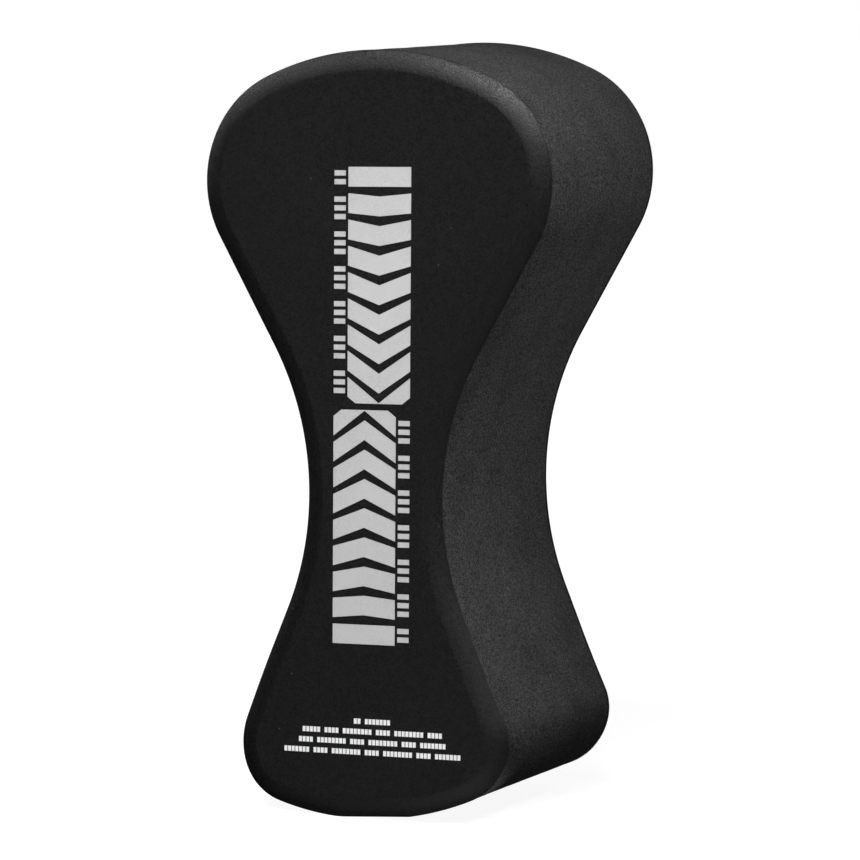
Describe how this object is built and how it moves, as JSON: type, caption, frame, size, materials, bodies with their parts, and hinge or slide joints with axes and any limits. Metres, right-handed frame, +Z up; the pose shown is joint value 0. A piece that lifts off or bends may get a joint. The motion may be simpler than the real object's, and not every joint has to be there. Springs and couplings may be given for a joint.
{
  "type": "pull buoy",
  "caption": "Hourglass foam pull buoy with a large upper lobe, a narrow waist, a small lower lobe, rounded face borders and a printed column of chevrons.",
  "frame": {"origin": "on the flat base under the middle of the body", "axes": "+Z up along the float's length, from the small lobe to the large lobe; -Y is the printed front face; +X is to the right when looking at the front"},
  "size_m": [0.116, 0.0841, 0.235],
  "materials": {
    "core_foam": "matte cut closed-cell EVA foam with a fine open grain",
    "facing_foam": "smooth matte pressed EVA foam sheet",
    "ink": "matte light grey screen-printing ink",
    "white_ink": "matte white screen-printing ink"
  },
  "bodies": {
    "root": {"foam_core": "core_foam", "front_facing": "facing_foam", "back_facing": "facing_foam", "upper_chevron_print": "ink", "lower_chevron_print": "ink", "left_tick_print": "ink", "right_tick_print": "ink", "notice_print": "white_ink"}
  },
  "joints": []
}
